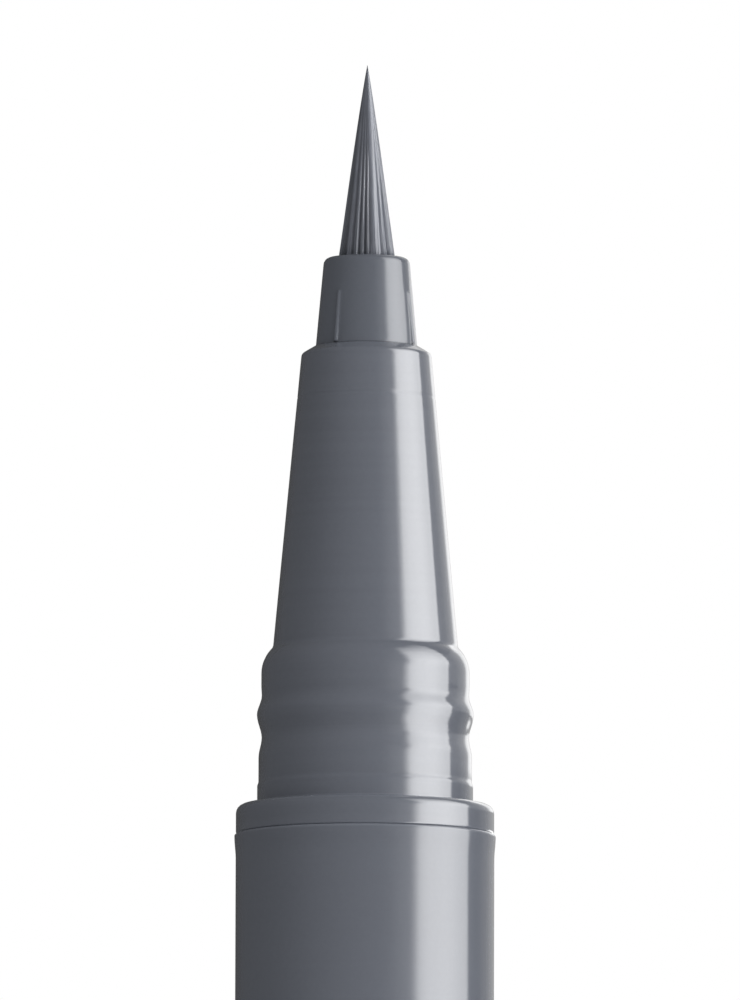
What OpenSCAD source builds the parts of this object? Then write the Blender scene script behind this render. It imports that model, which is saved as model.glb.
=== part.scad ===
// A slim pen for liquid eyeliner. It stands on its rear end with the brush up, and its cap is drawn
// off, straight above the tip. Heights are measured from the rear end's face.

/* [Barrel] */
// Outside diameter of the barrel
barrel_d = 10.5; // [10.2:0.1:12]
// Length of the barrel's tube, from the end plug's flange to its mouth
barrel_l = 92.6; // [70:0.1:110]
// Wall of the barrel
barrel_wall = 0.8; // [0.75:0.05:0.9]
// How far the lip at the barrel's mouth stands out
lip_rise = 0.055; // [0.02:0.005:0.1]
// Length over which the mouth's lip eases into the tube
lip_l = 0.9; // [0.5:0.1:2]
// Fillet of the barrel's mouth and of its rear edge
mouth_edge_r = 0.1; // [0.05:0.01:0.15]

/* [End plug] */
// Thickness of the flange that closes the rear end
plug_flange_t = 1.2; // [0.9:0.1:2]
// Length of the plug's skirt inside the barrel
plug_skirt_l = 5.3; // [4:0.1:9]
// Wall of the plug's skirt
plug_wall = 0.9; // [0.7:0.05:1.2]
// Thickness of the plug's floor above the flange
plug_floor_t = 0.8; // [0.4:0.1:1.5]
// Fillet of the rear edge
plug_edge_r = 0.5; // [0.2:0.05:0.8]

/* [Snap ribs] */
// How far a snap rib stands out of the skirt that carries it
rib_rise = 0.12; // [0.06:0.01:0.16]
// Half the height of a snap rib
rib_half_h = 0.45; // [0.3:0.05:0.7]
// Height of the rib above the plug's flange
plug_rib_h = 2.8; // [1.5:0.1:3.2]
// Depth of the front section's rib below the barrel's mouth
front_rib_depth = 5.8; // [3:0.1:7]

/* [Collar and neck] */
// How far the collar, which the cap closes against, stands inside the barrel's side
collar_inset = 0.01; // [0:0.01:0.1]
// Height of the collar
collar_h = 1.2; // [0.8:0.05:2]
// Fillet of the collar's upper edge
collar_edge_r = 0.35; // [0.1:0.05:0.4]
// Fillet of the edges that meet the barrel's ends
seam_edge_r = 0.1; // [0.05:0.01:0.15]
// Diameter of the neck's foot, on the collar
foot_d = 8.76; // [8.7:0.02:8.84]
// Height of the neck's foot
foot_h = 0.75; // [0.4:0.05:1]
// Diameter of the neck above its foot
neck_d = 8.66; // [8.6:0.02:8.74]
// Height at which the neck begins to draw in to its waist
flare_h = 1.92; // [1.5:0.05:2.1]
// Diameter of the waist below the snap ridge
waist_d = 8.42; // [8.3:0.02:8.54]
// Height of the waist
waist_h = 2.73; // [2.5:0.05:3]
// Diameter of the snap ridge
ridge_d = 8.8; // [8.7:0.02:8.9]
// Height of the snap ridge's crest
ridge_h = 3.68; // [3.5:0.05:3.9]
// Diameter of the groove above the ridge
groove_d = 8.42; // [8.3:0.02:8.52]
// Height of the groove
groove_h = 4.43; // [4.3:0.05:4.6]
// Diameter of the land above the groove
land_d = 8.46; // [8.4:0.02:8.7]
// Height of the land's lower edge
land_h = 4.86; // [4.8:0.05:5]
// Length of the land
land_l = 0.49; // [0.3:0.05:1]
// Bore of the neck and of the skirt below the collar
neck_bore_d = 7; // [6.6:0.1:7.1]
// Length of the skirt that goes into the barrel
skirt_l = 11.8; // [9:0.1:16]

/* [Nozzle] */
// Radius of the shoulder's arc
shoulder_r = 1.42; // [1.2:0.02:1.6]
// Angle that the shoulder's arc turns through
shoulder_turn = 48; // [40:1:52]
// Fillet where the nozzle leaves the shoulder
nozzle_foot_r = 0.3; // [0.1:0.05:0.3]
// Length of the nozzle's tapered side
nozzle_l = 12; // [9:0.1:16]
// Diameter of the nozzle at its upper corner
nozzle_tip_d = 5.28; // [5:0.02:5.8]
// Rise of the nozzle's sloping end face
nozzle_face_h = 0.34; // [0.2:0.02:0.6]
// Fillet of the nozzle's upper corner
nozzle_edge_r = 0.2; // [0.05:0.05:0.3]
// Wall of the nozzle's tapered side
nozzle_wall = 0.8; // [0.6:0.05:1]
// Distance of the fine moulding line below the nozzle's upper corner
witness_drop = 1.8; // [1:0.1:4]
// Depth of the fine moulding line
witness_depth = 0.015; // [0.01:0.005:0.05]
// Thickness of the web that stops the tip holder's stem
web_t = 0.7; // [0.5:0.05:1]

/* [Tip holder] */
// Diameter of the tip holder's cone where it leaves the nozzle
holder_foot_d = 4.12; // [4:0.02:4.2]
// Diameter of the cone at its upper end, before the fillet
holder_top_d = 3.47; // [3.3:0.01:3.7]
// Height of the cone above the nozzle
holder_l = 3.6; // [3:0.02:5]
// Fillet of the cone's upper edge
holder_edge_r = 0.28; // [0.1:0.02:0.3]
// Length of the stem inside the nozzle
stem_l = 6.1; // [5:0.1:8]
// Bore of the tip holder, behind the brush
holder_bore_d = 3.1; // [3.06:0.02:3.2]
// Thickness of the tip holder's front wall, around the brush
holder_front_t = 2.2; // [1.8:0.1:2.4]
// Length of the fine ribs low on the cone
cone_rib_l = 2.1; // [1:0.1:2.8]
// Thickness of a fine rib
cone_rib_t = 0.2; // [0.12:0.01:0.3]
// How far a fine rib stands out at its foot
cone_rib_rise = 0.1; // [0.07:0.01:0.12]
// How far a fine rib stands out at its upper end
cone_rib_top_rise = 0.06; // [0.03:0.01:0.07]
// Turn of the first fine rib about the pen's axis
cone_rib_turn = 53; // [0:1:90]
// Angle between the two ribs of a pair, where a second pair stands opposite the first
cone_rib_spread = 102; // [70:1:110]
// Number of vents along the stem
vents = 2; // [2:1:6]
// Width of a vent
vent_w = 0.4; // [0.2:0.05:0.6]
// Depth of a vent
vent_depth = 0.18; // [0.12:0.01:0.22]
// How far a vent opens above the nozzle's end
vent_rise = 0.04; // [0.04:0.01:0.1]
// Height of the cross slots that let air past the stem's foot
cross_slot_h = 0.5; // [0.3:0.1:1]
// Turn of the first vent about the pen's axis
vent_turn = 0; // [0:1:90]

/* [Brush] */
// Length of the brush outside the tip holder
brush_l = 7.92; // [6:0.02:10]
// Diameter of the brush where it leaves the tip holder
brush_d = 2.35; // [2:0.05:2.4]
// How full the brush's taper is: 1 is a straight cone
brush_fullness = 0.92; // [0.8:0.02:1]
// Rings of bristles around the middle one
brush_rings = 10; // [10:1:12]
// Thickness of the fused slice that carries the bristles
slice_t = 0.6; // [0.3:0.1:0.8]
// Diameter of the fused root's flange
root_flange_d = 3; // [2.9:0.02:3.02]
// Thickness of the fused root's flange
root_flange_t = 1; // [0.6:0.1:1.4]

/* [Ink feed] */
// Diameter of the feed rod
feed_d = 1.9; // [1.6:0.05:1.95]
// Length of the feed rod's pointed end
feed_point_l = 1.2; // [0.8:0.1:1.4]
// Diameter of the feed rod's blunt point
feed_point_d = 0.6; // [0.4:0.05:0.8]
// How far the feed rod reaches into the tank
feed_dip = 1; // [0.5:0.1:4]
// Wall of the tube that guides the feed rod
guide_wall = 0.5; // [0.4:0.02:0.52]

/* [Collector] */
// Thickness of a fin
fin_t = 0.35; // [0.25:0.05:0.45]
// Distance from one fin to the next
fin_pitch = 0.75; // [0.6:0.05:1.2]
// Diameter of the collector's core, between the fins
core_d = 3.4; // [3.2:0.1:4]
// Width of the slot that carries ink along the fins
ink_slot_w = 0.25; // [0.15:0.05:0.4]
// Width of the notch that lets air along the fins
air_notch_w = 1.2; // [0.8:0.1:1.8]
// Depth of the air notch
air_notch_depth = 0.7; // [0.4:0.1:1]
// Thickness of the head at the collector's rear end
head_t = 2; // [1.7:0.1:3]
// Diameter of the boss that holds the guide tube
boss_d = 3.9; // [3.7:0.1:4.4]
// Height of the boss above the top fin
boss_h = 2.4; // [1.6:0.1:2.6]
// Depth of the guide tube's seat in the boss
boss_seat = 1; // [0.6:0.1:1.4]
// Thickness of the seal ring
seal_t = 0.72; // [0.6:0.02:0.8]

/* [Mixing ball] */
// Diameter of the mixing ball
ball_d = 3.2; // [2:0.1:5]

/* [Cap] */
// Outside diameter of the cap
cap_d = 10.5; // [10.2:0.1:12]
// Length of the cap
cap_l = 43.5; // [38:0.5:60]
// Bore of the cap at its mouth
cap_bore_d = 9.2; // [9.1:0.02:9.4]
// Bore of the cap behind the inner cap's rim
cap_inner_bore_d = 8.84; // [8.7:0.02:9]
// Thickness of the cap's closed end
cap_end_t = 1.2; // [0.8:0.1:3]
// Fillet of the cap's closed end
cap_end_r = 0.8; // [0.3:0.1:1.2]
// Fillet of the cap's rim
cap_rim_r = 0.12; // [0.05:0.01:0.2]
// Distance that the cap has been drawn off
cap_travel = 40; // [36:1:60]
// Half the height of the bead that clicks under the snap ridge
bead_half_h = 0.45; // [0.3:0.05:0.6]

/* [Inner cap] */
// Height of the inner cap's rim above the collar, when the pen is closed
inner_rim_h = 7.6; // [7:0.1:9]
// Height of the seal lip above the inner cap's rim
lip_drop = 1; // [0.6:0.1:2]
// Height of the band that presses into the cap
band_h = 2.6; // [2:0.1:4]
// Wall of the inner cap
inner_wall = 0.7; // [0.5:0.05:0.8]
// Bore of the inner cap around the brush
inner_bore_d = 6.1; // [6:0.1:6.4]
// Space left beyond the brush's tip
tip_room = 2.1; // [1:0.1:4]
// Height of the band that centres the inner cap's closed end
end_band_h = 2; // [1:0.1:4]

/* [Fits] */
// Radial gap of a pressed fit
press_gap = 0.02; // [0.01:0.01:0.04]
// Radial gap of a rod or tube that slides in
slide_gap = 0.05; // [0.02:0.01:0.08]
// Radial gap between the fins and the bore around them
fin_gap = 0.08; // [0.05:0.01:0.15]
// Radial gap between the collector's head and the barrel, which the seal ring closes
head_gap = 0.15; // [0.1:0.01:0.2]
// Radial gap between the cap and what it passes or seals on
cap_gap = 0.03; // [0.02:0.01:0.06]
// Gap between two faces that meet end to end across a joint
end_gap = 0.1; // [0.05:0.05:0.3]

/* [Hidden] */

SHELL = "#6b6e76";
INNER = "#c9c6bd";
CUT = 1; // how far a cut runs past a face
ROUND = 96;

// Heights along the pen
mouth_z = plug_flange_t + barrel_l;
seat_z = mouth_z + collar_h;
shoulder_z = seat_z + land_h + land_l;
nozzle_z = shoulder_z + shoulder_r * sin(shoulder_turn);
corner_z = nozzle_z + nozzle_l;
nozzle_top_z = corner_z + nozzle_face_h;
holder_top_z = nozzle_top_z + holder_l;
tip_z = holder_top_z + brush_l;
stem_z = nozzle_top_z - stem_l;
holder_step_z = holder_top_z - holder_front_t;
slice_z = holder_top_z - slice_t - end_gap;
skirt_z = mouth_z - skirt_l;
head_z = skirt_z - head_t;
feed_z = head_z - feed_dip;
plug_floor_z = plug_flange_t + plug_floor_t;

// Radii that follow from others
bore_r = barrel_d / 2 - barrel_wall;
skirt_r = bore_r - press_gap;
collar_r = barrel_d / 2 - collar_inset;
neck_bore_r = neck_bore_d / 2;
nozzle_root_r = land_d / 2 - shoulder_r * (1 - cos(shoulder_turn));
nozzle_slope = (nozzle_root_r - nozzle_tip_d / 2) / nozzle_l;
stem_r = holder_foot_d / 2 - press_gap / 2;
stem_bore_r = stem_r + press_gap;
holder_slope = (holder_foot_d - holder_top_d) / 2 / holder_l;
feed_bore_r = feed_d / 2 + slide_gap;
guide_r = feed_bore_r + guide_wall;
brush_hole_r = brush_d / 2 + slide_gap;
fin_r = neck_bore_r - fin_gap;
web_hole_r = stem_r - 0.3;
head_r = bore_r - head_gap;
seal_mid_r = bore_r - press_gap / 2 - seal_t / 2;
slice_r = brush_d / 2 * brush_spread(brush_l + end_gap);

// The collector's fins fill the neck's bore up to where it narrows
fins_z = skirt_z + fin_pitch;
fins_top_z = nozzle_z - 0.8;
fin_count = floor((fins_top_z - fins_z - fin_t) / fin_pitch) + 1;
boss_z = fins_z + (fin_count - 1) * fin_pitch + fin_t;
guide_z = boss_z + boss_h - boss_seat;
root_z = holder_step_z - root_flange_t;

// The cap, as it lies when the pen is closed
cap_z = seat_z + cap_gap;
cap_top_z = cap_z + cap_l;
inner_rim_z = seat_z + inner_rim_h;
inner_top_z = tip_z + tip_room;
inner_end_z = inner_top_z + inner_wall + 0.2;
bead_z = seat_z + waist_h;
bead_r = ridge_d / 2 + cap_gap;
bore_step_z = inner_rim_z + band_h;

function nozzle_r(z) = nozzle_root_r - (z - nozzle_z) * nozzle_slope;

function unit(v) = v / norm(v);

// Arc of radius r that rounds the corner p between the points a and b
function corner(a, p, b, r, n = 5) =
    let (
        u = unit(a - p),
        v = unit(b - p),
        half = acos(u * v) / 2,
        c = p + unit(u + v) * r / sin(half),
        s = p + u * r / tan(half) - c,
        e = p + v * r / tan(half) - c,
        start = atan2(s.y, s.x),
        sweep = (atan2(e.y, e.x) - start + 540) % 360 - 180
    )
    [for (i = [0:n]) c + r * [cos(start + sweep * i / n), sin(start + sweep * i / n)]];

function flat(p) = [p.x, p.y];

// Outline from points [radius, height] or [radius, height, fillet]
function outline(pts) = [
    for (i = [0:len(pts) - 1])
        let (a = pts[(i + len(pts) - 1) % len(pts)], p = pts[i], b = pts[(i + 1) % len(pts)])
            each (len(p) > 2 ? corner(flat(a), flat(p), flat(b), p[2]) : [flat(p)])
];

// Smooth way from a to b that leaves and arrives upright
function eased(a, b, n) = [
    for (i = [1:n])
        [a.x + (b.x - a.x) * (1 - cos(180 * i / n)) / 2, a.y + (b.y - a.y) * i / n]
];

// Points of a low rounded rib on a wall of radius r, or of its groove where rise is the groove's depth
function rib(r, z, rise, half_h) = [
    for (i = [-4:4]) [r + rise * (1 + cos(45 * i)) / 2, z + half_h * i / 4]
];

module turned(pts) {
    rotate_extrude($fn = ROUND) polygon(outline(pts));
}

module barrel() {
    lip_r = barrel_d / 2 + lip_rise;
    groove_rise = rib_rise + slide_gap;
    color(SHELL)
        turned(concat(
            [
                [barrel_d / 2, plug_flange_t, mouth_edge_r],
                [barrel_d / 2, mouth_z - lip_l - mouth_edge_r]
            ],
            eased([barrel_d / 2, mouth_z - lip_l - mouth_edge_r], [lip_r, mouth_z - mouth_edge_r - 0.02], 5),
            [
                [lip_r, mouth_z, mouth_edge_r],
                [bore_r + 0.1, mouth_z],
                [bore_r, mouth_z - 0.2]
            ],
            reverse(rib(bore_r, mouth_z - front_rib_depth, groove_rise, rib_half_h)),
            reverse(rib(bore_r, plug_flange_t + plug_rib_h, groove_rise, rib_half_h)),
            [[bore_r, plug_flange_t]]
        ));
}

function reverse(list) = [for (i = [len(list) - 1:-1:0]) list[i]];

module end_plug() {
    top_z = plug_flange_t + plug_skirt_l;
    color(SHELL)
        turned(concat(
            [
                [0, 0],
                [barrel_d / 2, 0, plug_edge_r],
                [barrel_d / 2, plug_flange_t, seam_edge_r],
                [skirt_r, plug_flange_t]
            ],
            rib(skirt_r, plug_flange_t + plug_rib_h, rib_rise, rib_half_h),
            [
                [skirt_r, top_z - 0.4],
                [skirt_r - 0.15, top_z],
                [skirt_r - plug_wall, top_z],
                [skirt_r - plug_wall, plug_floor_z, 0.3],
                [0, plug_floor_z]
            ]
        ));
}

module mixing_ball() {
    color("silver")
        translate([0, 0, plug_floor_z + end_gap + ball_d / 2])
            sphere(d = ball_d, $fn = 48);
}

// The neck's outer line, from the collar to the land
function neck_line() =
    let (
        stops = [
            [foot_d / 2, seat_z],
            [foot_d / 2, seat_z + foot_h],
            [neck_d / 2, seat_z + foot_h + 0.2],
            [neck_d / 2, seat_z + flare_h],
            [waist_d / 2, seat_z + waist_h],
            [ridge_d / 2, seat_z + ridge_h],
            [groove_d / 2, seat_z + groove_h],
            [land_d / 2, seat_z + land_h],
            [land_d / 2, shoulder_z]
        ]
    )
    concat(
        [stops[0]],
        [
            for (i = [1:len(stops) - 1])
                each eased(stops[i - 1], stops[i], stops[i].x == stops[i - 1].x ? 1 : 6)
        ]
    );

// The shoulder's arc, up to the nozzle's root
function shoulder_line() = [
    for (i = [1:7])
        let (a = shoulder_turn * i / 8)
            [land_d / 2 - shoulder_r * (1 - cos(a)), shoulder_z + shoulder_r * sin(a)]
];

module front_section() {
    witness_z = corner_z - witness_drop;
    cavity_z = nozzle_z - 0.5;
    color(SHELL)
        turned(concat(
            [
                [neck_bore_r, skirt_z],
                [skirt_r - 0.15, skirt_z],
                [skirt_r, skirt_z + 0.4]
            ],
            rib(skirt_r, mouth_z - front_rib_depth, rib_rise, rib_half_h),
            [
                [skirt_r, mouth_z],
                [collar_r, mouth_z, seam_edge_r],
                [collar_r, seat_z, collar_edge_r]
            ],
            neck_line(),
            shoulder_line(),
            [
                [nozzle_root_r, nozzle_z, nozzle_foot_r],
                [nozzle_r(witness_z - 0.06), witness_z - 0.06],
                [nozzle_r(witness_z) - witness_depth, witness_z],
                [nozzle_r(witness_z + 0.06), witness_z + 0.06],
                [nozzle_tip_d / 2, corner_z, nozzle_edge_r],
                [stem_bore_r, nozzle_top_z],
                [stem_bore_r, stem_z],
                [web_hole_r, stem_z],
                [web_hole_r, stem_z - web_t],
                [nozzle_r(stem_z - web_t) - nozzle_wall, stem_z - web_t],
                [nozzle_r(nozzle_z + 1) - nozzle_wall, nozzle_z + 1],
                [neck_bore_r, cavity_z]
            ]
        ));
}

// The comb of fins on the collector's core, with its head below and its boss above
function comb_line() = concat(
    [
        [core_d / 2, skirt_z]
    ],
    [
        for (i = [0:fin_count - 1])
            let (z = fins_z + i * fin_pitch)
                each [[core_d / 2, z], [fin_r, z], [fin_r, z + fin_t], [core_d / 2, z + fin_t]]
    ]
);

module collector() {
    groove_r = seal_mid_r - seal_t / 2 - slide_gap;
    groove_h = seal_t + 2 * slide_gap;
    seal_z = head_z + head_t / 2;
    slot_r = core_d / 2 - 0.3;
    color(INNER)
        difference() {
            turned(concat(
                [
                    [feed_bore_r, head_z],
                    [head_r, head_z],
                    [head_r, seal_z - groove_h / 2],
                    [groove_r, seal_z - groove_h / 2],
                    [groove_r, seal_z + groove_h / 2],
                    [head_r, seal_z + groove_h / 2],
                    [head_r, skirt_z]
                ],
                comb_line(),
                [
                    [boss_d / 2, boss_z],
                    [boss_d / 2, boss_z + boss_h],
                    [guide_r + press_gap, boss_z + boss_h],
                    [guide_r + press_gap, guide_z],
                    [feed_bore_r, guide_z]
                ]
            ));
            // slot that carries ink from the tank through the head and up the comb
            translate([slot_r, -ink_slot_w / 2, head_z - CUT])
                cube([fin_r + fin_gap - slot_r, ink_slot_w, boss_z - head_z + CUT + fin_gap]);
            // notch that lets air down the other side
            translate([-fin_r - CUT, -air_notch_w / 2, fins_z - fin_gap])
                cube([air_notch_depth + CUT, air_notch_w, boss_z - fins_z + 2 * fin_gap]);
        }
}

module tank_seal() {
    color("#3a3a3c")
        translate([0, 0, head_z + head_t / 2])
            rotate_extrude($fn = ROUND)
                translate([seal_mid_r, 0])
                    circle(d = seal_t, $fn = 32);
}

module ink_feed() {
    point_z = root_z - end_gap;
    color("#e8e4da")
        turned([
            [0, feed_z],
            [feed_d / 2, feed_z],
            [feed_d / 2, point_z],
            [feed_point_d / 2, point_z + feed_point_l],
            [0, point_z + feed_point_l]
        ]);
}

module feed_guide() {
    color(INNER)
        turned([
            [feed_bore_r, guide_z],
            [guide_r, guide_z],
            [guide_r, root_z],
            [feed_bore_r, root_z]
        ]);
}

// Groove that lets air along the stem, and the slot that leads the air in under the stem's foot
module vent() {
    translate([stem_r - vent_depth, -vent_w / 2, stem_z - CUT])
        cube([CUT, vent_w, nozzle_top_z + vent_rise - stem_z + CUT]);
    translate([0, -vent_w / 2, stem_z - CUT])
        cube([stem_r + CUT, vent_w, cross_slot_h + CUT]);
}

module cone_rib() {
    tilt = atan(holder_slope + (cone_rib_rise - cone_rib_top_rise) / cone_rib_l);
    translate([holder_foot_d / 2 + cone_rib_rise - cone_rib_t / 2, 0, nozzle_top_z + press_gap])
        rotate([0, -tilt, 0])
            cylinder(d = cone_rib_t, h = cone_rib_l, $fn = 24);
}

module tip_holder() {
    color(SHELL) {
        difference() {
            turned([
                [holder_bore_d / 2, stem_z],
                [stem_r, stem_z],
                [stem_r, nozzle_top_z],
                [holder_foot_d / 2, nozzle_top_z],
                [holder_top_d / 2, holder_top_z, holder_edge_r],
                [brush_hole_r, holder_top_z],
                [brush_hole_r, holder_step_z],
                [holder_bore_d / 2, holder_step_z]
            ]);
            for (i = [0:vents - 1])
                rotate(vent_turn + i * 360 / vents)
                    vent();
        }
        for (side = [0, 180], turn = [0, cone_rib_spread])
            rotate(cone_rib_turn + side + turn)
                cone_rib();
    }
}

module brush_root() {
    point_gap = 2 * slide_gap;
    color("#8d8f94")
        turned([
            [feed_d / 2 + point_gap, root_z],
            [root_flange_d / 2, root_z],
            [root_flange_d / 2, holder_step_z],
            [brush_d / 2 - press_gap, holder_step_z],
            [brush_d / 2 - press_gap, slice_z],
            [0, slice_z],
            [0, root_z + feed_point_l],
            [feed_point_d / 2 + point_gap, root_z + feed_point_l]
        ]);
}

// Width of the brush at a distance below its tip, where 1 is its width at the tip holder
function brush_spread(d) = pow(d / brush_l, brush_fullness);

// One bristle on a disc of radius 1. It stands at distance f from the middle, at angle a, leans in
// with the brush's taper and comes to its point at a distance end_d below the brush's tip.
module bristle(f, a, end_d) {
    thick = 0.42 / (brush_rings + 0.6);
    levels = [brush_l + end_gap, brush_l * 0.5, end_d];
    points = concat(
        [
            for (k = [0:1], i = [0:2])
                let (s = brush_spread(levels[k]))
                    [
                        s * (f * cos(a) + thick * cos(a + 120 * i)),
                        s * (f * sin(a) + thick * sin(a + 120 * i)),
                        tip_z - levels[k]
                    ]
        ],
        [[
            brush_spread(end_d) * f * cos(a),
            brush_spread(end_d) * f * sin(a),
            tip_z - end_d
        ]]
    );
    sides = [for (i = [0:2]) let (j = (i + 1) % 3) each [[i, i + 3, j + 3], [i, j + 3, j], [i + 3, 6, j + 3]]];
    polyhedron(points, concat([[0, 1, 2]], sides));
}

module brush() {
    color("#74767b")
        resize([2 * slice_r, 2 * slice_r, 0])
            union() {
                translate([0, 0, slice_z])
                    cylinder(r = 1, h = slice_t, $fn = 48);
                bristle(0, 0, 0);
                for (ring = [1:brush_rings], i = [0:6 * ring - 1])
                    let (mix = (0.618 * (ring * ring + i)) % 1)
                        bristle(
                            ring / (brush_rings + 0.6),
                            (i + ring % 2 / 2) * 60 / ring,
                            brush_l * (0.04 + 0.22 * mix)
                        );
            }
}

module cap_shell() {
    color(SHELL)
        translate([0, 0, cap_travel])
            turned(concat(
                [
                    [cap_bore_d / 2, cap_z],
                    [cap_d / 2, cap_z, cap_rim_r],
                    [cap_d / 2, cap_top_z, cap_end_r],
                    [0, cap_top_z],
                    [0, cap_top_z - cap_end_t],
                    [cap_inner_bore_d / 2, cap_top_z - cap_end_t, 0.5],
                    [cap_inner_bore_d / 2, bore_step_z],
                    [cap_bore_d / 2, bore_step_z]
                ],
                reverse(rib(cap_bore_d / 2, bead_z, bead_r - cap_bore_d / 2, bead_half_h))
            ));
}

module inner_cap() {
    band_r = cap_bore_d / 2 - press_gap;
    lip_z = inner_rim_z + lip_drop;
    lip_r = nozzle_r(lip_z) + cap_gap;
    bore_r = inner_bore_d / 2;
    // height at which the bore has drawn in to its width around the brush
    throat_z = corner_z;
    color(INNER)
        translate([0, 0, cap_travel])
            turned([
                [lip_r + 0.3, inner_rim_z],
                [band_r - 0.1, inner_rim_z],
                [band_r, inner_rim_z + 0.3],
                [band_r, bore_step_z],
                [lip_r + inner_wall, bore_step_z],
                [bore_r + inner_wall, throat_z],
                [bore_r + inner_wall, inner_end_z - end_band_h - 0.4],
                [cap_inner_bore_d / 2 - press_gap, inner_end_z - end_band_h],
                [cap_inner_bore_d / 2 - press_gap, inner_end_z, 0.3],
                [0, inner_end_z],
                [0, inner_top_z],
                [bore_r, inner_top_z, 0.6],
                [bore_r, throat_z],
                [lip_r + 0.12, lip_z + 0.3],
                [lip_r, lip_z + 0.05],
                [lip_r, lip_z - 0.05]
            ]);
}

barrel();
end_plug();
mixing_ball();
front_section();
collector();
tank_seal();
ink_feed();
feed_guide();
tip_holder();
brush_root();
brush();
cap_shell();
inner_cap();
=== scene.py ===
"""A slim liquid eyeliner pen, upright, with its fine brush up and its cap drawn off above it.

Every length is in metres. The pen's axis is +Z, and -Y faces the camera. A bearing is the angle in
degrees about that axis, counted from the camera towards +X, which is the picture's right. An elevation
is the angle up from level. Stops are (place, level) pairs, and are read along the lines between them.
"""
import math

import bpy
from mathutils import Matrix, Vector


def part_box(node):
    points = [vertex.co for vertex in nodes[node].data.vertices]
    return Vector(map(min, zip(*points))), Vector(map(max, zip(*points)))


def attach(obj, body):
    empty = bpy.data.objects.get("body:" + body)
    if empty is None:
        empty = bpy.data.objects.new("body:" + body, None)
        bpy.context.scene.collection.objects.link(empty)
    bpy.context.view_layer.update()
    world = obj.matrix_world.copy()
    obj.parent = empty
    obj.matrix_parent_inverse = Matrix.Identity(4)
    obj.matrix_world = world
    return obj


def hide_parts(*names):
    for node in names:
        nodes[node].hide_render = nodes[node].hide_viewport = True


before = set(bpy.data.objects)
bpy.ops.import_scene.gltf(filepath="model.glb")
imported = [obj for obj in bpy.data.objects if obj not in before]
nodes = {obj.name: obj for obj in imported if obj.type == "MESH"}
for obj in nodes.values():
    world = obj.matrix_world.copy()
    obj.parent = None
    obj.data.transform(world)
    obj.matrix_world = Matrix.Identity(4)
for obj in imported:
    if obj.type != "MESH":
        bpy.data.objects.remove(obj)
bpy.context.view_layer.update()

MM = 0.001
UM = 0.001 * MM

# Heights on the pen, from the frame
barrel_rear, barrel_mouth = (corner.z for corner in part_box("barrel"))
nozzle_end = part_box("front_section")[1].z
holder_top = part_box("tip_holder")[1].z
brush_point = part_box("brush")[1].z

# The camera, from the photograph's own scale
FRAME_H = 40.63 * MM  # height of the picture where the pen stands
PIXEL = FRAME_H / 1000  # the picture is 1000 pixels high
LENS = 850  # millimetres, like the sensor's height
SENSOR = 36
LOOK_UP = 6  # degrees that the camera looks up
ROLL = 0.18  # degrees
AIM_BELOW_NOZZLE_END = 6.29 * MM
AIM_RIGHT = 4 * PIXEL
CLIP_START = 0.05  # from the camera

# Even light from all around, and soft lamps: name, bearing, elevation, width, height and radiance
AMBIENT = 0.5
AMBIENT_LEAN = 0.3  # share by which it is stronger from straight above, and weaker from below
LAMPS = (
    ("key", 77, 7, 4.8, 2.0, 1.8),
    ("fill", 45, 4, 2.4, 2.4, 8.4),
    ("back", 180, 20, 1.2, 1.6, 6.0),
)
LAMP_FAR = 4.0

# The dark tent, which the pen's gloss mirrors with its soft patches
TENT_FAR = 5.0
TENT_TOP = 88  # its highest elevation, and it reaches as far down
TENT_COLUMNS = 25
TENT_ROWS = 23
TENT_DARK = 0.07
# The softbox at the right
SOFTBOX_RADIANCE = 5.9
SOFTBOX_BEARINGS = (
    (8, 0), (20, 0.025), (32, 0.055), (40, 0.08), (44, 0.25), (51, 0.85), (60, 1),
    (75, 1), (85, 0.89), (90, 0.79), (95, 0.7), (100, 0.62), (104, 0.57), (107, 0),
)
SOFTBOX_ELEVATIONS = (
    (-70, 0), (-60, 1), (20, 1), (28, 0.9), (38, 0.75),
    (43, 0.64), (47, 0.5), (50, 0.42), (55, 0.25), (62, 0),
)
SOFTBOX_LEAN = 4.5  # degrees that it leans to the right where the nozzle mirrors it
LEAN_ELEVATIONS = (6, 16)  # where the lean begins, and where it is full
# The grey cloth behind the pen's right side, which hangs from top to bottom
CLOTH_RADIANCE = 0.45
CLOTH_BEARINGS = ((118, 0), (130, 0.5), (150, 1), (168, 1), (180, 0.15))
CLOTH_ELEVATIONS = ((-90, 1), (90, 1))
# The pale wall high behind the pen
WALL_RADIANCE = 0.85
WALL_BEARINGS = ((135, 0), (150, 0.8), (158, 1), (172, 1), (180, 0.1))
WALL_ELEVATIONS = ((14, 0), (24, 1), (58, 1), (68, 0.3), (90, 0.3))
# A low softbox at the back, which the front view's upright walls don't mirror
LOW_RADIANCE = 2.6
LOW_BEARINGS = ((144, 0), (152, 1), (172, 1), (178, 0))
LOW_ELEVATIONS = ((-60, 0), (-50, 1), (-5, 1), (1, 0))

# The white card behind the neck and nozzle, which draws the bright line down their right side
CARD_RADIANCE = 1.0
CARD_BEARINGS = (
    (96, 0), (105, 0.25), (139, 0.25), (143, 0.4), (148, 1),
    (156, 0.9), (166, 0.55), (174, 0.25), (179, 0.2),
)
CARD_COLUMNS = 12
CARD_FAR = 60 * MM
CARD_BELOW_NOZZLE_END = 12.445 * MM
CARD_ABOVE_NOZZLE_END = 22.255 * MM
CARD_LOW_EDGE = 0.5 * MM  # height over which its glow begins
CARD_HIGH_EDGE = 4 * MM  # height over which its glow ends

# The floor
FLOOR_HALF = 12.0
FLOOR_PAINT = 0.85
FLOOR_GLOW = 0.3

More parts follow.
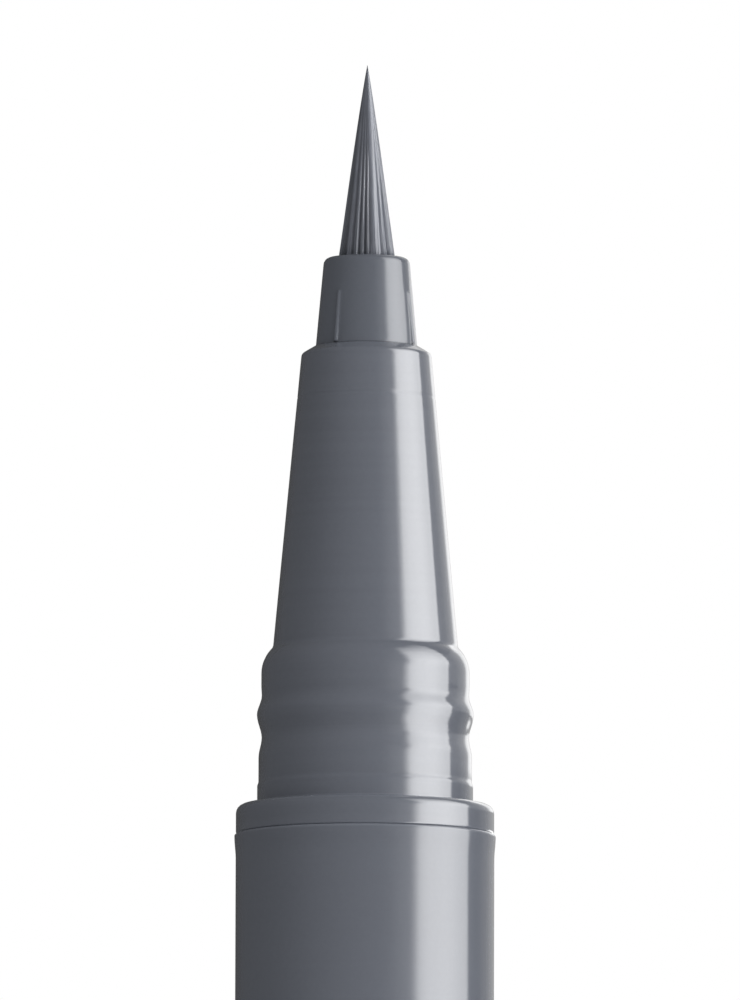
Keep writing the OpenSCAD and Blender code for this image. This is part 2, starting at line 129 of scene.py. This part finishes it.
# Colours as linear light
GREY = (0.1335, 0.1435, 0.169)
HOLDER_GREY = (0.117, 0.1265, 0.149)
BRISTLE = (0.134, 0.143, 0.169)
NATURAL = (0.587, 0.571, 0.508)
FIBRE = (0.787, 0.749, 0.674)
RUBBER = (0.02, 0.02, 0.021)
STEEL = (0.56, 0.57, 0.58)

# The finishes. A pattern's scale is its cells to the metre, and a swing is how far it moves a value
PLASTIC_IOR = 1.5
CLOUD_SCALE = 260
CLOUD_TONE_SWING = 0.03
CLOUD_ROUGH_SWING = 0.04
SKIN_SCALE = 1400
GRAIN_SCALE = 5200
GRAIN_TONE_SWING = 0.015
GRAIN_RELIEF = 0.2  # share of the skin's own relief
BAND_SCALE = 2200
BAND_SPREAD = 0.15
RUB_SCALE = 9000
RUB_SHOWS = (0.62, 0.75)  # levels of the pattern where a rub begins, and where it is full
RUB_ROUGH = 0.05  # what a rub adds to the roughness
ALONG_PEN = (1, 1, 0.04)  # draws a pattern out along the pen
ROUND_PEN = (0.02, 0.02, 1)  # draws a pattern out round the pen
EDGE_SOFT = 0.14 * MM  # over which edges and facets blend in the gloss
# Painted light: about each seam the colour is made paler, standing in for light in the seam's shaded
# groove
SEAM_W = 0.13 * MM
SEAM_PAINTED_LIGHT = 0.3
COLLAR_H = 1.2 * MM  # from the barrel's mouth to the collar's top, where the neck begins
STREAK_SCALE = 13  # cells to the bundle's radius
ALONG_BUNDLE = (1, 1, 0.06)  # draws the streaks out along the bundle
CLUMP_TONES = (0.72, 1.22)  # of the darkest and the palest clump
STEEL_SCALE = 6000

# The brush's bundle, where a share is of the bundle's radius
FULLNESS = 0.92  # power of its taper, where 1 is a plain cone
BRUSH_R = 1.175 * MM  # at the holder's top
BRUSH_OVERLAP = 0.3 * MM  # how far down the filaments reach into the holder
BRUSH_TURN = 24  # degrees that the bundle's clumps are turned, so that they lie as in the photograph
FILAMENT_SIDES = 5
FILAMENT_SEGMENTS = 7
INNER_REACH = 0.93  # share at which the outermost of the inner filaments stand
SHORTNESS_POWER = 1.6  # keeps most filaments nearly as long as the bundle
GOLDEN_ANGLE = math.radians(137.508)
CORE_SIDES = 240
CORE_SEGMENTS = 24
CORE_FOOT = 0.965  # share that the core fills at the foot
CORE_GAIN = 0.02  # what its share gains up to the point
CORE_LAST = 0.002  # the least taper that is undone, so that nothing is divided by 0
CLUMP_WAVES = ((3, 0.3, 0.4), (7, 0.12, 2.1))  # waves round the bundle, swing in clumps, start
HOLLOW_POWER = 1.5  # makes the clumps broad and the hollows between them narrow
CLOSING_FROM = 0.12  # share of the bundle's height where the hollows begin to close
# Random draws for the filaments and clumps: salt, lowest and highest
DRAWS = {
    "outer reach": (2, 0.935, 0.957),
    "thickness across": (3, 0.85, 1.2),
    "thickness other way": (4, 0.85, 1.2),
    "shortness": (5, 0.0, 0.62),
    "turn": (7, 0.0, math.tau),
    "clump's tone": (8, 0.0, 1.0),
    "clump's closing": (9, 0.8, 1.2),
    "clump's depth": (10, 0.35, 1.5),
}


def bearing(degrees, elevation=0.0):
    """Direction from the pen to a bearing and an elevation."""
    way, rise = math.radians(degrees), math.radians(elevation)
    return Vector((math.sin(way) * math.cos(rise), -math.cos(way) * math.cos(rise), math.sin(rise)))


# ---------------------------------------------------------------- node helpers

def add(tree, kind, inputs=None, **settings):
    """A node with its settings and inputs, where an input is a value or another node's output."""
    node = tree.nodes.new(kind)
    for name, value in settings.items():
        setattr(node, name, value)
    for key, value in (inputs or {}).items():
        if isinstance(value, bpy.types.NodeSocket):
            tree.links.new(value, node.inputs[key])
        else:
            node.inputs[key].default_value = value
    return node


def calc(tree, operation, *values):
    """Output of a math node on up to three values."""
    kind = "ShaderNodeMath"
    return add(tree, kind, dict(enumerate(values)), operation=operation).outputs[0]


def product(tree, first, *others):
    """All the values multiplied."""
    for value in others:
        first = calc(tree, "MULTIPLY", first, value)
    return first


def parts_of(tree, vector):
    """A vector's X, Y and Z."""
    return add(tree, "ShaderNodeSeparateXYZ", {0: vector}).outputs


def vector_of(tree, x=0.0, y=0.0, z=0.0):
    return add(tree, "ShaderNodeCombineXYZ", {0: x, 1: y, 2: z}).outputs[0]


def noise(tree, where, scale, detail=2.0, rough=0.5):
    """A cloudy pattern, mostly between 0.3 and 0.7."""
    kind = "ShaderNodeTexNoise"
    values = {"Vector": where, "Scale": scale, "Detail": detail, "Roughness": rough}
    return add(tree, kind, values).outputs["Fac"]


def ramp(tree, value, from_low, from_high, to_low, to_high):
    """value, moved from one range into another and held inside it."""
    values = {"Value": value, 1: from_low, 2: from_high, 3: to_low, 4: to_high}
    return add(tree, "ShaderNodeMapRange", values).outputs[0]


def about(tree, pattern, middle, swing, spread=0.2):
    """Values that swing about the middle, as the pattern goes through its spread about one half."""
    return ramp(tree, pattern, 0.5 - spread, 0.5 + spread, middle - swing, middle + swing)


def through(tree, value, stops):
    """Reads a value off the line through the stops, with levels up to 1."""
    places, levels = zip(*stops)
    first, last = places[0], places[-1]
    node = add(tree, "ShaderNodeValToRGB", {"Fac": ramp(tree, value, first, last, 0, 1)})
    elements = node.color_ramp.elements
    for place in places[1:-1]:
        elements.new((place - first) / (last - first))
    for element, level in zip(elements, levels):
        element.color = (level, level, level, 1)
    return node.outputs[0]


# ---------------------------------------------------------------- materials

def blank(name):
    material = bpy.data.materials.new(name)
    material.use_nodes = True
    material.node_tree.nodes.clear()
    return material, material.node_tree


def finish(tree, shader):
    add(tree, "ShaderNodeOutputMaterial", {"Surface": shader.outputs[0]})


def object_place(tree):
    return add(tree, "ShaderNodeTexCoord").outputs["Object"]


def stretched(tree, where, scale):
    """A place scaled on each axis, which draws a pattern out along an axis with a small scale."""
    return add(tree, "ShaderNodeMapping", {"Vector": where, "Scale": scale}).outputs[0]


def shaded(tree, colour, shade):
    """A colour, made darker or paler by a factor."""
    kind = "ShaderNodeVectorMath"
    return add(tree, kind, {0: colour, "Scale": shade}, operation="SCALE").outputs[0]


def near_seam(tree, where, seams):
    """1 on a seam between two pieces, falling to 0 just beside it. It places the seams' painted light.
    """
    height = parts_of(tree, where)[2]
    near = 0.0
    for seam in seams:
        away = calc(tree, "ABSOLUTE", calc(tree, "SUBTRACT", height, seam))
        near = calc(tree, "MAXIMUM", ramp(tree, away, 0, SEAM_W, 1, 0), near)
    return near


def moulded(name, colour, roughness, coat, relief, bands=0.0, seams=()):
    """Moulded plastic: slight clouding of its colour, a fine skin, and hairline rubs along the pen.
    Faint bands run round it, and a band about each seam is painted paler: painted light that lifts the
    shade in the seam's groove."""
    material, tree = blank(name)
    where = object_place(tree)
    cloud = noise(tree, where, CLOUD_SCALE, detail=3)
    skin = noise(tree, where, SKIN_SCALE, detail=1)
    grain = noise(tree, where, GRAIN_SCALE)
    rings = noise(tree, stretched(tree, where, ROUND_PEN), BAND_SCALE, detail=3, rough=0.6)
    rubs = noise(tree, stretched(tree, where, ALONG_PEN), RUB_SCALE, rough=0.6)
    shade = product(
        tree,
        about(tree, cloud, 1.0, CLOUD_TONE_SWING, spread=0.5),
        about(tree, grain, 1.0, GRAIN_TONE_SWING),
        about(tree, rings, 1.0, bands, spread=BAND_SPREAD),
    )
    # painted light: the colour is made paler about each seam, against the shade in its groove
    if seams:
        pale = calc(tree, "MULTIPLY_ADD", near_seam(tree, where, seams), SEAM_PAINTED_LIGHT, 1.0)
        shade = product(tree, shade, pale)
    rough = about(tree, cloud, roughness, CLOUD_ROUGH_SWING, spread=0.5)
    rough = calc(tree, "ADD", rough, ramp(tree, rubs, *RUB_SHOWS, 0, RUB_ROUGH))
    height = calc(tree, "MULTIPLY_ADD", grain, GRAIN_RELIEF, skin)
    soft = add(tree, "ShaderNodeBevel", {"Radius": EDGE_SOFT}, samples=8).outputs[0]
    values = {"Strength": 1.0, "Distance": relief, "Height": height, "Normal": soft}
    bump = add(tree, "ShaderNodeBump", values)
    shader = add(tree, "ShaderNodeBsdfPrincipled", {
        "Base Color": shaded(tree, colour, shade),
        "Roughness": rough,
        "IOR": PLASTIC_IOR,
        "Coat Weight": coat,
        "Coat Roughness": 0.06,
        "Normal": bump.outputs[0],
        "Coat Normal": bump.outputs[0],
    })
    finish(tree, shader)
    return material


def gloss_plastic():
    """The front section's, with painted light, a paler colour, at the barrel's mouth and at the neck's
    foot.
    """
    seams = (barrel_mouth, barrel_mouth + COLLAR_H)
    return moulded(
        "gloss plastic", GREY, roughness=0.12, coat=1.0, relief=1.2 * UM, bands=0.02, seams=seams
    )


def barrel_plastic():
    """The barrel's, its end plug's and the cap's, with painted light, a paler colour, at the barrel's
    ends.
    """
    seams = (barrel_rear, barrel_mouth)
    return moulded(
        "barrel plastic", GREY, roughness=0.14, coat=0.7, relief=1.2 * UM, bands=0.006, seams=seams
    )


def satin_plastic():
    """The tip holder's."""
    return moulded("satin plastic", HOLDER_GREY, roughness=0.16, coat=0.3, relief=1.2 * UM)


def natural_plastic():
    """The plain plastic of the pieces inside."""
    return moulded("natural plastic", NATURAL, roughness=0.45, coat=0.0, relief=2 * UM)


def bonded_fibre():
    """The ink feed's."""
    return moulded("fibre", FIBRE, roughness=0.8, coat=0.0, relief=6 * UM)


def seal_rubber():
    return moulded("seal rubber", RUBBER, roughness=0.6, coat=0.0, relief=4 * UM)


def ball_steel():
    """The mixing ball's finely ground steel."""
    material, tree = blank("steel")
    fine = noise(tree, object_place(tree), STEEL_SCALE, detail=3)
    bump = add(tree, "ShaderNodeBump", {"Strength": 0.5, "Distance": 1 * UM, "Height": fine})
    shader = add(tree, "ShaderNodeBsdfPrincipled", {
        "Base Color": shaded(tree, STEEL, about(tree, fine, 1.0, 0.06)),
        "Metallic": 1.0,
        "Roughness": about(tree, fine, 0.25, 0.05),
        "Normal": bump.outputs[0],
    })
    finish(tree, shader)
    return material


def bristle_finish():
    """Fine filaments, wet with ink: each clump has its own tone, and fine streaks run up it."""
    material, tree = blank("bristle")
    tone = add(tree, "ShaderNodeAttribute", attribute_name="tone").outputs["Fac"]
    lay = add(tree, "ShaderNodeAttribute", attribute_name="lay").outputs["Vector"]
    streak = noise(tree, stretched(tree, lay, ALONG_BUNDLE), STREAK_SCALE, detail=3)
    shade = product(tree, ramp(tree, tone, 0, 1, *CLUMP_TONES), about(tree, streak, 1.0, 0.1))
    bump = add(tree, "ShaderNodeBump", {"Strength": 0.6, "Distance": 16 * UM, "Height": streak})
    shader = add(tree, "ShaderNodeBsdfPrincipled", {
        "Base Color": shaded(tree, BRISTLE, shade),
        "Roughness": about(tree, streak, 0.36, 0.06),
        "IOR": PLASTIC_IOR,
        "Coat Weight": 0.5,
        "Coat Roughness": 0.16,
        "Normal": bump.outputs[0],
    })
    finish(tree, shader)
    return material


# ---------------------------------------------------------------- the brush

def bundle_sockets(tree):
    """Gives the bundle's tree its inputs and its output. Returns the inputs' identifiers by name."""
    identifiers = {}
    wanted = (
        ("Length", "Float"), ("Radius", "Float"), ("Fullness", "Float"), ("Foot", "Float"),
        ("Outer filaments", "Int"), ("Inner filaments", "Int"), ("Clumps", "Int"),
        ("Groove", "Float"), ("Closed at", "Float"), ("Thickness", "Float"), ("Seed", "Int"),
        ("Finish", "Material"),
    )
    for name, kind in wanted:
        socket = tree.interface.new_socket(name=name, in_out="INPUT", socket_type="NodeSocket" + kind)
        identifiers[name] = socket.identifier
    tree.interface.new_socket(name="Mesh", in_out="OUTPUT", socket_type="NodeSocketGeometry")
    return identifiers


def draw(tree, given, name, who=None):
    """A random value for each point, or for each value of who."""
    salt, low, high = DRAWS[name]
    values = {2: low, 3: high, "Seed": calc(tree, "ADD", given["Seed"], salt)}
    if who is not None:
        values["ID"] = who
    return add(tree, "FunctionNodeRandomValue", values, data_type="FLOAT").outputs[1]


def joined(tree, *meshes):
    join = add(tree, "GeometryNodeJoinGeometry")
    for mesh in meshes:
        tree.links.new(mesh, join.inputs[0])
    return join.outputs[0]


def cone(tree, sides, segments):
    """A pointed cone on its base, with a radius of 1 and a height of 1."""
    return add(tree, "GeometryNodeMeshCone", {
        "Vertices": sides,
        "Side Segments": segments,
        "Radius Top": 0.0,
        "Radius Bottom": 1.0,
        "Depth": 1.0,
    }).outputs[0]


def stand(tree, count, radius, angle):
    """Points on the foot of the bundle."""
    x = product(tree, radius, calc(tree, "COSINE", angle))
    y = product(tree, radius, calc(tree, "SINE", angle))
    values = {"Count": count, "Position": vector_of(tree, x, y)}
    return add(tree, "GeometryNodePoints", values).outputs[0]


def filament_feet(tree, given):
    """The outer filaments stand on a ring, and the inner ones fill the middle evenly."""
    index = add(tree, "GeometryNodeInputIndex").outputs[0]
    outer, inner = given["Outer filaments"], given["Inner filaments"]
    turn = calc(tree, "DIVIDE", product(tree, index, math.tau), outer)
    ring = stand(tree, outer, draw(tree, given, "outer reach"), turn)
    share = calc(tree, "DIVIDE", calc(tree, "ADD", index, 0.5), inner)
    reach = product(tree, calc(tree, "SQRT", share), INNER_REACH)
    fill = stand(tree, inner, reach, product(tree, index, GOLDEN_ANGLE))
    return joined(tree, ring, fill)


def filaments(tree, given):
    """Tapered filaments, upright on their feet."""
    across = product(tree, given["Thickness"], draw(tree, given, "thickness across"))
    other_way = product(tree, given["Thickness"], draw(tree, given, "thickness other way"))
    short = calc(tree, "POWER", draw(tree, given, "shortness"), SHORTNESS_POWER)
    planted = add(tree, "GeometryNodeInstanceOnPoints", {
        "Points": filament_feet(tree, given),
        "Instance": cone(tree, FILAMENT_SIDES, FILAMENT_SEGMENTS),
        "Rotation": vector_of(tree, z=draw(tree, given, "turn")),
        "Scale": vector_of(tree, across, other_way, calc(tree, "SUBTRACT", 1.0, short)),
    })
    return add(tree, "GeometryNodeRealizeInstances", {0: planted.outputs[0]}).outputs[0]


def clumps_passed(tree, given, turn):
    """Clumps passed in turning this far round, where some are wider than others."""
    passed = product(tree, calc(tree, "DIVIDE", turn, math.tau), given["Clumps"])
    for waves, swing, start in CLUMP_WAVES:
        wave = calc(tree, "SINE", calc(tree, "MULTIPLY_ADD", turn, waves, start))
        passed = calc(tree, "MULTIPLY_ADD", wave, swing, passed)
    return passed


def groove(tree, given, height, passed):
    """Depth of the hollows between clumps, which are deep at the foot and close towards the point."""
    clump = calc(tree, "ROUND", passed)
    wave = calc(tree, "COSINE", product(tree, passed, math.tau))
    hollow = calc(tree, "POWER", calc(tree, "MULTIPLY_ADD", wave, -0.5, 0.5), HOLLOW_POWER)
    open_here = add(tree, "ShaderNodeMapRange", {
        "Value": product(tree, height, draw(tree, given, "clump's closing", clump)),
        1: CLOSING_FROM,
        2: given["Closed at"],
        3: 1.0,
        4: 0.0,
    }, interpolation_type="SMOOTHSTEP").outputs[0]
    depth = draw(tree, given, "clump's depth", clump)
    return product(tree, hollow, open_here, given["Groove"], depth)


def core_share(tree, height, left):
    """Undoes a cone's own taper, and leaves the core a little inside the bundle."""
    share = calc(tree, "MULTIPLY_ADD", height, CORE_GAIN, CORE_FOOT)
    return calc(tree, "DIVIDE", share, calc(tree, "MAXIMUM", left, CORE_LAST))


def noted(tree, mesh, name, kind, value):
    """The mesh, with a value of each of its points kept for the finish."""
    values = {"Geometry": mesh, "Name": name, "Value": value}
    node = "GeometryNodeStoreNamedAttribute"
    return add(tree, node, values, data_type=kind, domain="POINT").outputs[0]


def drawn(tree, given, mesh, is_core):
    """A straight mesh in its clumps, drawn in to the bundle's point and set to its sizes."""
    here = add(tree, "GeometryNodeInputPosition").outputs[0]
    x, y, z = parts_of(tree, here)
    height = add(tree, "ShaderNodeClamp", {0: z}).outputs[0]
    left = calc(tree, "SUBTRACT", 1.0, height)
    passed = clumps_passed(tree, given, calc(tree, "ARCTAN2", y, x))
    tone = draw(tree, given, "clump's tone", calc(tree, "ROUND", passed))
    mesh = noted(tree, mesh, "tone", "FLOAT", tone)
    mesh = noted(tree, mesh, "lay", "FLOAT_VECTOR", here)
    width = product(
        tree,
        calc(tree, "POWER", left, given["Fullness"]),
        calc(tree, "SUBTRACT", 1.0, groove(tree, given, height, passed)),
        given["Radius"],
    )
    if is_core:
        width = product(tree, width, core_share(tree, height, left))
    moved = vector_of(
        tree,
        product(tree, x, width),
        product(tree, y, width),
        calc(tree, "MULTIPLY_ADD", height, given["Length"], given["Foot"]),
    )
    return add(tree, "GeometryNodeSetPosition", {"Geometry": mesh, "Position": moved}).outputs[0]


def bundle_tree():
    """A bundle of tapered filaments in clumps on a closed core, drawn to one point. It is made straight,
    inside a radius of 1 and a height of 1, and then drawn in and set to its sizes."""
    tree = bpy.data.node_groups.new("filament bundle", "GeometryNodeTree")
    identifiers = bundle_sockets(tree)
    given = add(tree, "NodeGroupInput").outputs
    core = cone(tree, CORE_SIDES, CORE_SEGMENTS)
    whole = joined(
        tree,
        drawn(tree, given, filaments(tree, given), is_core=False),
        drawn(tree, given, core, is_core=True),
    )
    smooth = add(tree, "GeometryNodeSetShadeSmooth", {"Geometry": whole}).outputs[0]
    named = add(tree, "GeometryNodeSetMaterial", {"Geometry": smooth, "Material": given["Finish"]})
    add(tree, "NodeGroupOutput", {0: named.outputs[0]})
    return tree, identifiers


def make_brush(material):
    foot = holder_top - BRUSH_OVERLAP
    length = brush_point - foot
    # the bundle is a little wider at its hidden foot than at the holder's top
    radius = BRUSH_R * (length / (brush_point - holder_top)) ** FULLNESS
    tree, identifiers = bundle_tree()
    brush = bpy.data.objects.new("brush_bundle", bpy.data.meshes.new("brush_bundle"))
    bpy.context.scene.collection.objects.link(brush)
    bundle = brush.modifiers.new("bundle", "NODES")
    bundle.node_group = tree
    values = {
        "Length": length, "Radius": radius, "Fullness": FULLNESS, "Foot": foot,
        "Outer filaments": 170, "Inner filaments": 260, "Clumps": 20,
        "Groove": 0.085, "Closed at": 0.85, "Thickness": 0.032, "Seed": 9, "Finish": material,
    }
    for name, value in values.items():
        bundle[identifiers[name]] = value
    bpy.context.view_layer.update()
    made = brush.evaluated_get(bpy.context.evaluated_depsgraph_get())
    mesh = bpy.data.meshes.new_from_object(made)
    brush.modifiers.clear()
    mesh.transform(Matrix.Rotation(math.radians(BRUSH_TURN), 4, "Z"))
    brush.data = mesh
    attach(brush, "pen")
    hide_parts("brush")


# ---------------------------------------------------------------- stage

def seen_directly(tree):
    """1 for a ray that shows a surface, also in a mirror, and 0 for one that only gathers light."""
    path = add(tree, "ShaderNodeLightPath").outputs
    seen = calc(tree, "ADD", path["Is Camera Ray"], path["Is Glossy Ray"])
    seen = calc(tree, "ADD", seen, path["Is Transmission Ray"])
    return calc(tree, "MINIMUM", seen, 1.0)


def make_world():
    """Even light, stronger from above. Whatever shows the world directly sees plain white."""
    world = bpy.data.worlds.new("studio")
    bpy.context.scene.world = world
    world.use_nodes = True
    tree = world.node_tree
    tree.nodes.clear()
    up = parts_of(tree, add(tree, "ShaderNodeTexCoord").outputs["Generated"])[2]
    even = calc(tree, "MULTIPLY_ADD", up, AMBIENT * AMBIENT_LEAN, AMBIENT)
    strength = ramp(tree, seen_directly(tree), 0, 1, even, 1.0)
    sky = add(tree, "ShaderNodeBackground", {"Color": (1, 1, 1, 1), "Strength": strength})
    add(tree, "ShaderNodeOutputWorld", {"Surface": sky.outputs[0]})


def make_lamp(name, way, elevation, width, height, radiance):
    """A far rectangular lamp that faces the nozzle's end. The gloss mirrors the tent instead of it."""
    light = bpy.data.lights.new(name, "AREA")
    light.shape = "RECTANGLE"
    light.size, light.size_y = width, height
    light.energy = radiance * math.pi * width * height
    lamp = bpy.data.objects.new(name, light)
    out = bearing(way, elevation)
    lamp.location = Vector((0, 0, nozzle_end)) + out * LAMP_FAR
    lamp.rotation_euler = out.to_track_quat("Z", "Y").to_euler()
    lamp.visible_camera = False
    lamp.visible_glossy = False
    bpy.context.scene.collection.objects.link(lamp)


def mesh_object(name, verts, faces, material):
    mesh = bpy.data.meshes.new(name)
    mesh.from_pydata(verts, [], faces)
    mesh.materials.append(material)
    thing = bpy.data.objects.new(name, mesh)
    bpy.context.scene.collection.objects.link(thing)
    return thing


def mirrored_only(name, verts, faces, material):
    """A card that only the object's gloss sees."""
    material.cycles.emission_sampling = "NONE"
    card = mesh_object(name, verts, faces, material)
    card.visible_camera = False
    card.visible_diffuse = False
    card.visible_shadow = False
    card.visible_transmission = False


def grid_faces(columns, rows):
    return [
        (i * rows + j, (i + 1) * rows + j, (i + 1) * rows + j + 1, i * rows + j + 1)
        for i in range(columns - 1) for j in range(rows - 1)
    ]


def way_round(tree):
    """Bearing in degrees, and the place's X, Y and Z."""
    place = parts_of(tree, object_place(tree))
    way = calc(tree, "ARCTAN2", place[0], product(tree, place[1], -1.0))
    return calc(tree, "DEGREES", way), place


def patch(tree, way, height, bearings, elevations, radiance):
    """Glow of one soft-edged patch of the tent."""
    return product(tree, through(tree, way, bearings), through(tree, height, elevations), radiance)


def tent_glow(tree):
    """The tent's own dark, and its patches where they are brighter."""
    way, place = way_round(tree)
    rise = calc(tree, "DIVIDE", calc(tree, "SUBTRACT", place[2], nozzle_end), TENT_FAR)
    height = calc(tree, "DEGREES", calc(tree, "ARCSINE", rise))
    lean = ramp(tree, height, *LEAN_ELEVATIONS, 0, SOFTBOX_LEAN)
    leant = calc(tree, "SUBTRACT", way, lean)
    patches = (
        patch(tree, leant, height, SOFTBOX_BEARINGS, SOFTBOX_ELEVATIONS, SOFTBOX_RADIANCE),
        patch(tree, way, height, CLOTH_BEARINGS, CLOTH_ELEVATIONS, CLOTH_RADIANCE),
        patch(tree, way, height, WALL_BEARINGS, WALL_ELEVATIONS, WALL_RADIANCE),
        patch(tree, way, height, LOW_BEARINGS, LOW_ELEVATIONS, LOW_RADIANCE),
    )
    glow = TENT_DARK
    for bright in patches:
        glow = calc(tree, "MAXIMUM", bright, glow)
    return glow


def make_tent():
    """The dark tent around the pen, with its softbox on the right and paler cloth at the back right."""
    middle = Vector((0, 0, nozzle_end))
    ways = [360 * i / (TENT_COLUMNS - 1) for i in range(TENT_COLUMNS)]
    elevations = [TENT_TOP * (2 * j / (TENT_ROWS - 1) - 1) for j in range(TENT_ROWS)]
    verts = [bearing(way, elevation) * TENT_FAR + middle for way in ways for elevation in elevations]
    material, tree = blank("tent")
    finish(tree, add(tree, "ShaderNodeEmission", {"Strength": tent_glow(tree)}))
    mirrored_only("tent", verts, grid_faces(TENT_COLUMNS, TENT_ROWS), material)


def make_card():
    """A small white card behind the right side, curved about the pen, with soft edges."""
    card_low = nozzle_end - CARD_BELOW_NOZZLE_END
    card_high = nozzle_end + CARD_ABOVE_NOZZLE_END
    first, last = CARD_BEARINGS[0][0], CARD_BEARINGS[-1][0]
    verts = []
    for i in range(CARD_COLUMNS):
        out = bearing(first + (last - first) * i / (CARD_COLUMNS - 1)) * CARD_FAR
        verts += [(out.x, out.y, card_low), (out.x, out.y, card_high)]
    material, tree = blank("card")
    way, place = way_round(tree)
    glow = product(
        tree,
        through(tree, way, CARD_BEARINGS),
        CARD_RADIANCE,
        ramp(tree, place[2], card_low, card_low + CARD_LOW_EDGE, 0, 1),
        ramp(tree, place[2], card_high - CARD_HIGH_EDGE, card_high, 1, 0),
    )
    shine = add(tree, "ShaderNodeEmission", {"Strength": glow})
    sheer = add(tree, "ShaderNodeBsdfTransparent")
    finish(tree, add(tree, "ShaderNodeAddShader", {0: shine.outputs[0], 1: sheer.outputs[0]}))
    mirrored_only("card", verts, grid_faces(CARD_COLUMNS, 2), material)


def make_floor():
    """A pale floor, which shows near white wherever the object's shadow doesn't lie."""
    material, tree = blank("floor")
    paint = add(tree, "ShaderNodeBsdfDiffuse", {"Color": (FLOOR_PAINT, FLOOR_PAINT, FLOOR_PAINT, 1)})
    glow = add(tree, "ShaderNodeEmission", {"Strength": product(tree, seen_directly(tree), FLOOR_GLOW)})
    finish(tree, add(tree, "ShaderNodeAddShader", {0: paint.outputs[0], 1: glow.outputs[0]}))
    corners = [(FLOOR_HALF * x, FLOOR_HALF * y, 0) for x, y in ((-1, -1), (1, -1), (1, 1), (-1, 1))]
    floor = mesh_object("floor", corners, [(0, 1, 2, 3)], material)
    floor.visible_glossy = False
    floor.visible_diffuse = False


def make_camera():
    camera_data = bpy.data.cameras.new("camera")
    camera_data.sensor_fit = "VERTICAL"
    camera_data.sensor_height = SENSOR
    camera_data.lens = LENS
    distance = LENS / SENSOR * FRAME_H
    camera_data.clip_start = CLIP_START
    camera_data.clip_end = distance + TENT_FAR + 1
    camera = bpy.data.objects.new("camera", camera_data)
    aim = Vector((AIM_RIGHT, 0, nozzle_end - AIM_BELOW_NOZZLE_END))
    out = bearing(0, -LOOK_UP)
    camera.location = aim + out * distance
    turn = out.to_track_quat("Z", "Y").to_matrix() @ Matrix.Rotation(math.radians(ROLL), 3, "Z")
    camera.rotation_euler = turn.to_euler()
    bpy.context.scene.collection.objects.link(camera)
    bpy.context.scene.camera = camera


# ---------------------------------------------------------------- the scene

def make_stage():
    """The camera, the light and what surrounds the pen."""
    bpy.context.scene.view_settings.view_transform = "Standard"
    make_camera()
    make_world()
    for lamp in LAMPS:
        make_lamp(*lamp)
    make_floor()
    make_tent()
    make_card()


def clad(material, *names):
    """Gives CAD pieces their material on each of their slots."""
    for name in names:
        for slot in nodes[name].material_slots:
            slot.material = material


def make_pen():
    """Gives every piece its finish, and makes the fine brush in place of the plain one."""
    clad(gloss_plastic(), "front_section")
    clad(barrel_plastic(), "barrel", "end_plug", "cap_shell")
    clad(satin_plastic(), "tip_holder")
    clad(natural_plastic(), "collector", "feed_guide", "inner_cap")
    clad(bonded_fibre(), "ink_feed")
    clad(seal_rubber(), "tank_seal")
    clad(ball_steel(), "mixing_ball")
    bristle = bristle_finish()
    clad(bristle, "brush_root", "brush")
    make_brush(bristle)


make_stage()
make_pen()
